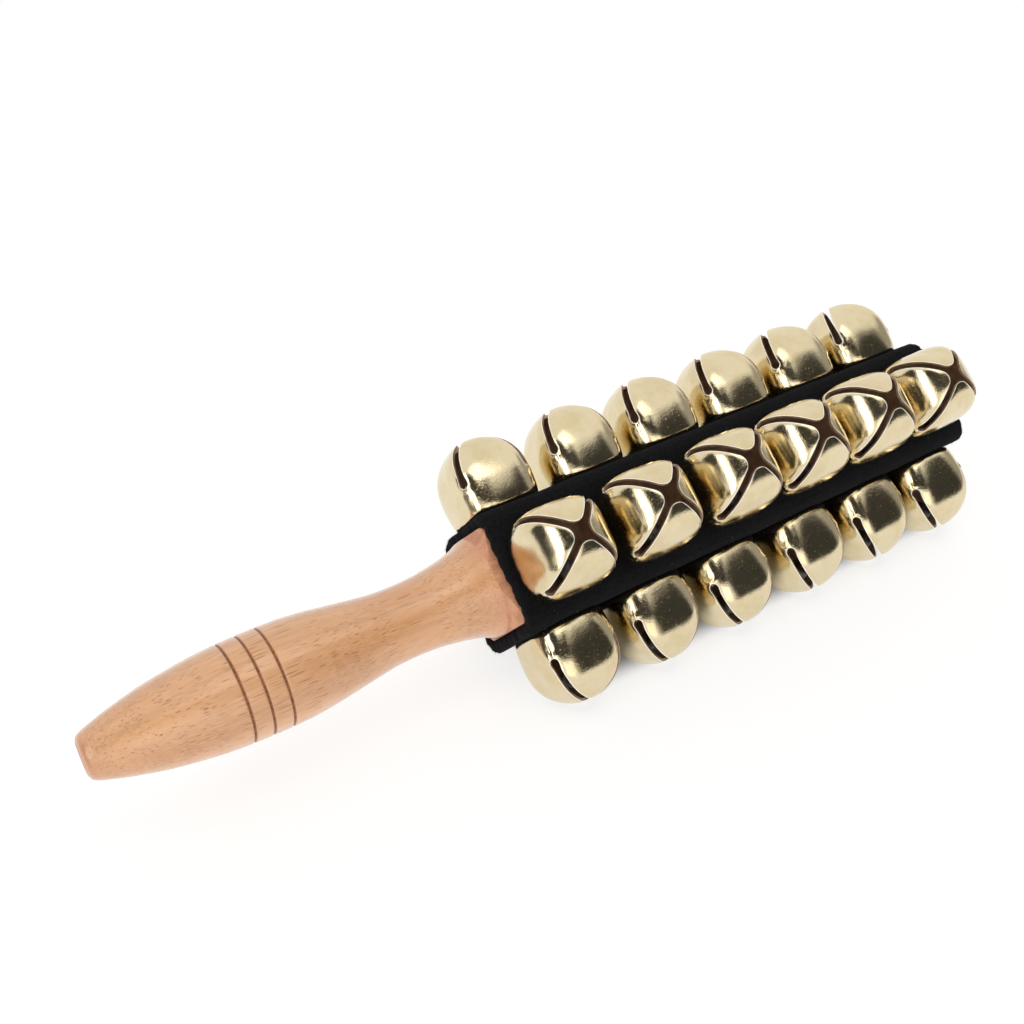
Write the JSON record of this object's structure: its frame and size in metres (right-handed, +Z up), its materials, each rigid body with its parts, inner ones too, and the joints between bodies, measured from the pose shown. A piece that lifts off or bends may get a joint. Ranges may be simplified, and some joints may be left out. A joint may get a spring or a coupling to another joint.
{
  "type": "sleigh bells",
  "caption": "Hand-held sleigh bells: turned beech grip and square felt-covered block with four rows of slotted brass jingle bells, a loose pellet in each",
  "frame": {"origin": "centre of the bounding box in plan, at its lowest point, where the two lower rows of bells rest on a surface", "axes": "+X along the stick from the grip to the far end, +Z up with the rows of bells pointing 45 degrees above and below the horizontal"},
  "size_m": [0.287, 0.065, 0.0649],
  "materials": {
    "beech": "clear gloss lacquer over turned beech",
    "felt": "matt black felt",
    "bell_brass": "polished pale gold plate",
    "pellet_steel": "dull steel"
  },
  "bodies": {
    "stick": {"beech_handle_and_core": "beech", "felt_cover": "felt", "bell_front_1": "bell_brass", "bell_front_2": "bell_brass", "bell_front_3": "bell_brass", "bell_front_4": "bell_brass", "bell_front_5": "bell_brass", "bell_front_6": "bell_brass", "bell_upper_1": "bell_brass", "bell_upper_2": "bell_brass", "bell_upper_3": "bell_brass", "bell_upper_4": "bell_brass", "bell_upper_5": "bell_brass", "bell_upper_6": "bell_brass", "bell_lower_1": "bell_brass", "bell_lower_2": "bell_brass", "bell_lower_3": "bell_brass", "bell_lower_4": "bell_brass", "bell_lower_5": "bell_brass", "bell_lower_6": "bell_brass", "bell_back_1": "bell_brass", "bell_back_2": "bell_brass", "bell_back_3": "bell_brass", "bell_back_4": "bell_brass", "bell_back_5": "bell_brass", "bell_back_6": "bell_brass"},
    "pellet_front_1": {"pellet_front_1": "pellet_steel"},
    "pellet_front_2": {"pellet_front_2": "pellet_steel"},
    "pellet_front_3": {"pellet_front_3": "pellet_steel"},
    "pellet_front_4": {"pellet_front_4": "pellet_steel"},
    "pellet_front_5": {"pellet_front_5": "pellet_steel"},
    "pellet_front_6": {"pellet_front_6": "pellet_steel"},
    "pellet_upper_1": {"pellet_upper_1": "pellet_steel"},
    "pellet_upper_2": {"pellet_upper_2": "pellet_steel"},
    "pellet_upper_3": {"pellet_upper_3": "pellet_steel"},
    "pellet_upper_4": {"pellet_upper_4": "pellet_steel"},
    "pellet_upper_5": {"pellet_upper_5": "pellet_steel"},
    "pellet_upper_6": {"pellet_upper_6": "pellet_steel"},
    "pellet_lower_1": {"pellet_lower_1": "pellet_steel"},
    "pellet_lower_2": {"pellet_lower_2": "pellet_steel"},
    "pellet_lower_3": {"pellet_lower_3": "pellet_steel"},
    "pellet_lower_4": {"pellet_lower_4": "pellet_steel"},
    "pellet_lower_5": {"pellet_lower_5": "pellet_steel"},
    "pellet_lower_6": {"pellet_lower_6": "pellet_steel"},
    "pellet_back_1": {"pellet_back_1": "pellet_steel"},
    "pellet_back_2": {"pellet_back_2": "pellet_steel"},
    "pellet_back_3": {"pellet_back_3": "pellet_steel"},
    "pellet_back_4": {"pellet_back_4": "pellet_steel"},
    "pellet_back_5": {"pellet_back_5": "pellet_steel"},
    "pellet_back_6": {"pellet_back_6": "pellet_steel"}
  },
  "joints": [
    {"name": "pellet_front_1_slide", "type": "slide", "parent": "stick", "child": "pellet_front_1", "axis": [0, 0, 1], "range_m": [0, 0.016]},
    {"name": "pellet_front_2_slide", "type": "slide", "parent": "stick", "child": "pellet_front_2", "axis": [0, 0, 1], "range_m": [0, 0.016]},
    {"name": "pellet_front_3_slide", "type": "slide", "parent": "stick", "child": "pellet_front_3", "axis": [0, 0, 1], "range_m": [0, 0.016]},
    {"name": "pellet_front_4_slide", "type": "slide", "parent": "stick", "child": "pellet_front_4", "axis": [0, 0, 1], "range_m": [0, 0.016]},
    {"name": "pellet_front_5_slide", "type": "slide", "parent": "stick", "child": "pellet_front_5", "axis": [0, 0, 1], "range_m": [0, 0.016]},
    {"name": "pellet_front_6_slide", "type": "slide", "parent": "stick", "child": "pellet_front_6", "axis": [0, 0, 1], "range_m": [0, 0.016]},
    {"name": "pellet_upper_1_slide", "type": "slide", "parent": "stick", "child": "pellet_upper_1", "axis": [0, 0, 1], "range_m": [0, 0.016]},
    {"name": "pellet_upper_2_slide", "type": "slide", "parent": "stick", "child": "pellet_upper_2", "axis": [0, 0, 1], "range_m": [0, 0.016]},
    {"name": "pellet_upper_3_slide", "type": "slide", "parent": "stick", "child": "pellet_upper_3", "axis": [0, 0, 1], "range_m": [0, 0.016]},
    {"name": "pellet_upper_4_slide", "type": "slide", "parent": "stick", "child": "pellet_upper_4", "axis": [0, 0, 1], "range_m": [0, 0.016]},
    {"name": "pellet_upper_5_slide", "type": "slide", "parent": "stick", "child": "pellet_upper_5", "axis": [0, 0, 1], "range_m": [0, 0.016]},
    {"name": "pellet_upper_6_slide", "type": "slide", "parent": "stick", "child": "pellet_upper_6", "axis": [0, 0, 1], "range_m": [0, 0.016]},
    {"name": "pellet_lower_1_slide", "type": "slide", "parent": "stick", "child": "pellet_lower_1", "axis": [0, 0, 1], "range_m": [0, 0.016]},
    {"name": "pellet_lower_2_slide", "type": "slide", "parent": "stick", "child": "pellet_lower_2", "axis": [0, 0, 1], "range_m": [0, 0.016]},
    {"name": "pellet_lower_3_slide", "type": "slide", "parent": "stick", "child": "pellet_lower_3", "axis": [0, 0, 1], "range_m": [0, 0.016]},
    {"name": "pellet_lower_4_slide", "type": "slide", "parent": "stick", "child": "pellet_lower_4", "axis": [0, 0, 1], "range_m": [0, 0.016]},
    {"name": "pellet_lower_5_slide", "type": "slide", "parent": "stick", "child": "pellet_lower_5", "axis": [0, 0, 1], "range_m": [0, 0.016]},
    {"name": "pellet_lower_6_slide", "type": "slide", "parent": "stick", "child": "pellet_lower_6", "axis": [0, 0, 1], "range_m": [0, 0.016]},
    {"name": "pellet_back_1_slide", "type": "slide", "parent": "stick", "child": "pellet_back_1", "axis": [0, 0, 1], "range_m": [0, 0.016]},
    {"name": "pellet_back_2_slide", "type": "slide", "parent": "stick", "child": "pellet_back_2", "axis": [0, 0, 1], "range_m": [0, 0.016]},
    {"name": "pellet_back_3_slide", "type": "slide", "parent": "stick", "child": "pellet_back_3", "axis": [0, 0, 1], "range_m": [0, 0.016]},
    {"name": "pellet_back_4_slide", "type": "slide", "parent": "stick", "child": "pellet_back_4", "axis": [0, 0, 1], "range_m": [0, 0.016]},
    {"name": "pellet_back_5_slide", "type": "slide", "parent": "stick", "child": "pellet_back_5", "axis": [0, 0, 1], "range_m": [0, 0.016]},
    {"name": "pellet_back_6_slide", "type": "slide", "parent": "stick", "child": "pellet_back_6", "axis": [0, 0, 1], "range_m": [0, 0.016]}
  ]
}
